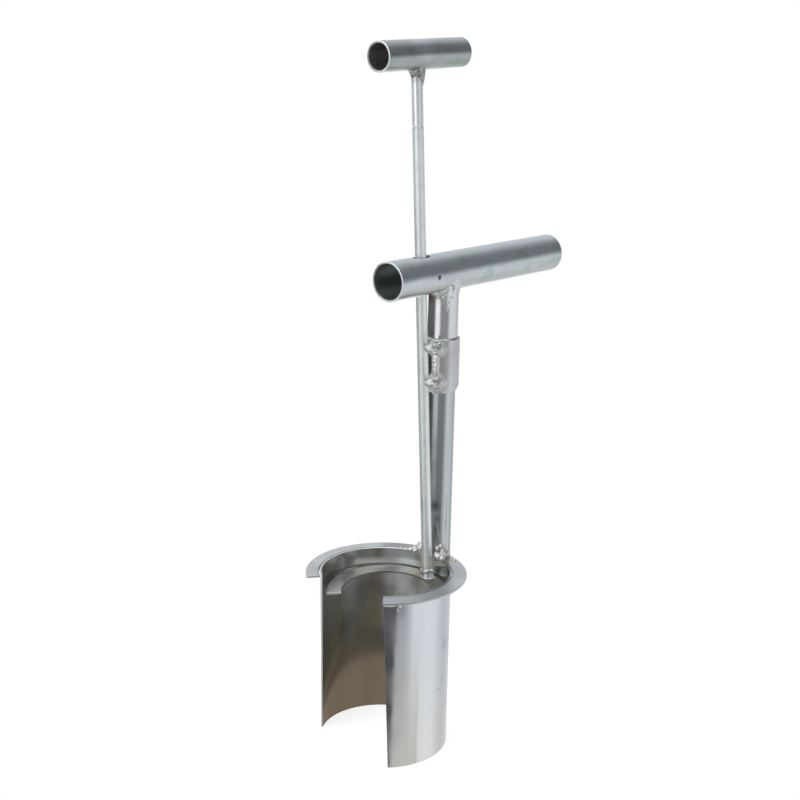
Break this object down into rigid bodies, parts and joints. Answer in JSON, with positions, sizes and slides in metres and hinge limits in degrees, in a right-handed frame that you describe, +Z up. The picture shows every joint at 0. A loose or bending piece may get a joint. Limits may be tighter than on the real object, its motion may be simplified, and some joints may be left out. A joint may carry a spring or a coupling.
{
  "type": "seedling transplanter",
  "caption": "Hand seedling transplanter in welded stainless tube: a slit cutting tube on a post with a cross handle, and a sliding T-handle plunger that ejects the soil plug.",
  "frame": {"origin": "on the cutting tube's axis, in the plane of its bottom cutting edge", "axes": "+Z up along the cutting tube's axis, +X along the main handle away from the slit, +Y completes it"},
  "size_m": [0.2071, 0.1062, 0.4619],
  "materials": {
    "satin_stainless": "satin",
    "bright_stainless": "bright",
    "plated_steel": "bright plated",
    "weld_metal": "rough bright"
  },
  "bodies": {
    "frame": {"cutting_tube": "satin_stainless", "flange_ring": "satin_stainless", "lower_post": "satin_stainless", "coupling_sleeve": "satin_stainless", "main_handle": "satin_stainless", "upper_post": "bright_stainless", "upper_clamp_nut": "plated_steel", "lower_clamp_nut": "plated_steel", "handle_weld": "weld_metal", "sleeve_weld": "weld_metal", "sleeve_seam_weld": "weld_metal", "upper_nut_weld": "weld_metal", "lower_nut_weld": "weld_metal", "post_foot_weld": "weld_metal", "flange_tack_welds": "weld_metal"},
    "plunger": {"ejector_plate": "satin_stainless", "ejector_rod": "bright_stainless", "t_handle_stem": "bright_stainless", "t_handle": "satin_stainless", "rod_weld": "weld_metal", "stem_weld": "weld_metal"},
    "upper_screw": {"upper_clamp_screw": "plated_steel"},
    "lower_screw": {"lower_clamp_screw": "plated_steel"}
  },
  "joints": [
    {"name": "plunger_slide", "type": "slide", "parent": "frame", "child": "plunger", "axis": [0, 0, 1], "range_m": [-0.102, 0.003]},
    {"name": "upper_screw_turn", "type": "hinge", "parent": "frame", "child": "upper_screw", "pos_m": [0.03067, -0.00994, 0.26736], "axis": [-0.9164, -0.3518, 0.1908], "range_deg": [0, 360]},
    {"name": "lower_screw_turn", "type": "hinge", "parent": "frame", "child": "lower_screw", "pos_m": [0.03097, -0.01067, 0.24466], "axis": [-0.9016, -0.3883, 0.1908], "range_deg": [0, 360]}
  ]
}
